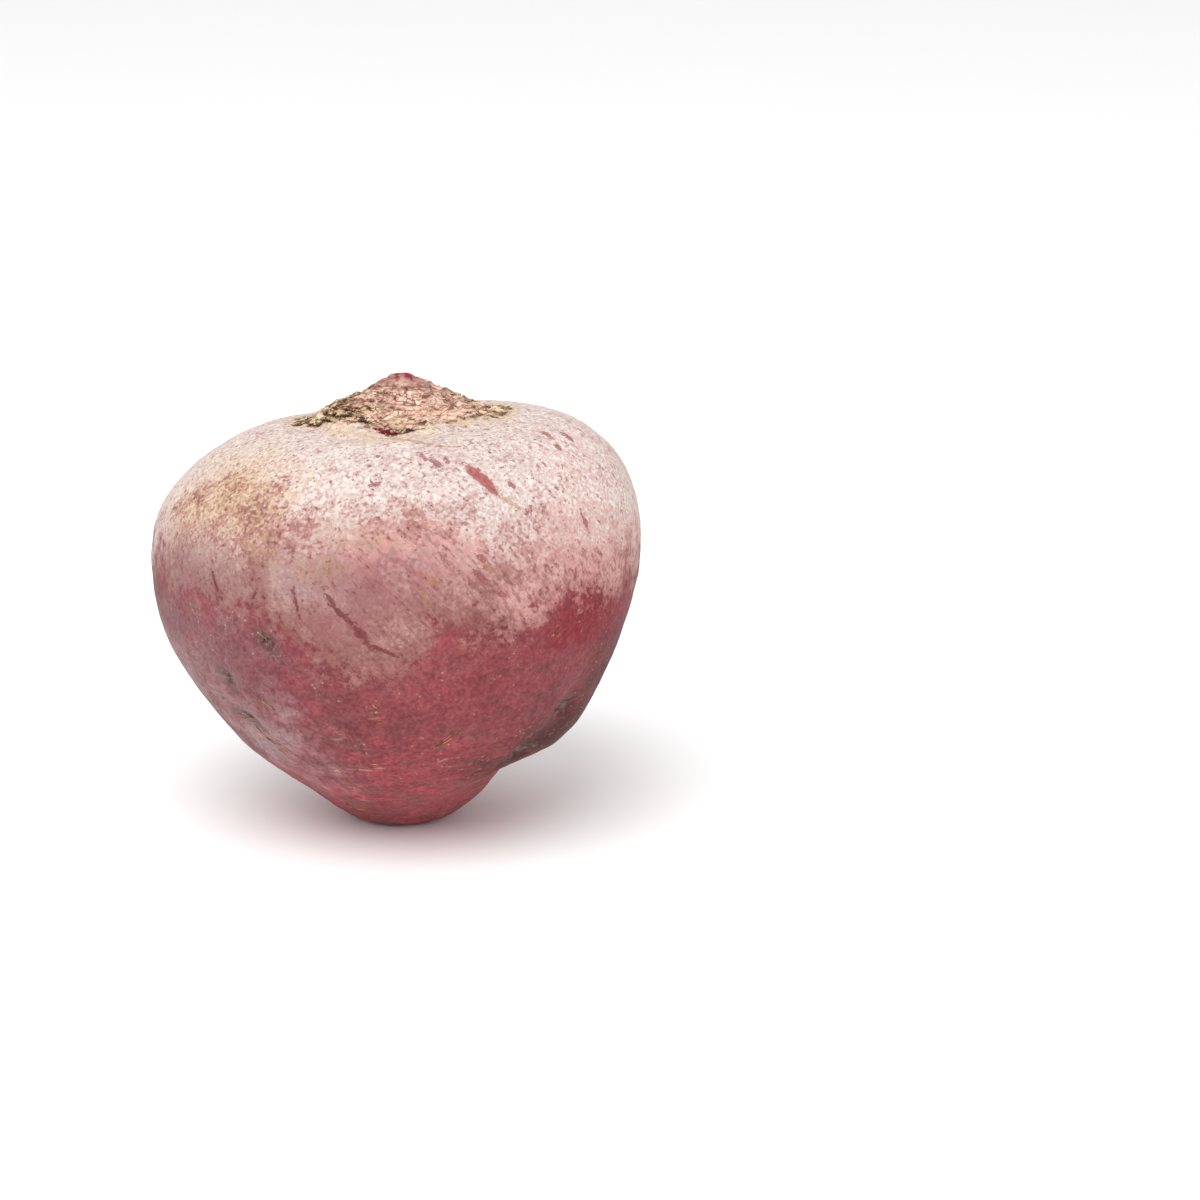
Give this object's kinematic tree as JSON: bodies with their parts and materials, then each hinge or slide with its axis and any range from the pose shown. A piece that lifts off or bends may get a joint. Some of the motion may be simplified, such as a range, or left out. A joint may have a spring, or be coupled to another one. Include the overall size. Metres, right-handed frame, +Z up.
{
  "type": "beetroot",
  "caption": "Whole beetroot trimmed of its leaves: a heart-shaped root with a corky stepped crown, shallow side-root furrows and a flat cut tail that it stands on.",
  "frame": {"origin": "bottom centre of the bounding box, on the flat cut of the tail", "axes": "+Z up from the cut tail to the crown's bud, -Y the front, +X the right, where the shoulder is higher"},
  "size_m": [0.0878, 0.0844, 0.082],
  "materials": {
    "beet_skin": "dry skin: pale corky bloom over the shoulders, matt crimson-mauve below, tan ragged leaf scars on the crown"
  },
  "bodies": {
    "root": {"beetroot": "beet_skin"}
  },
  "joints": []
}
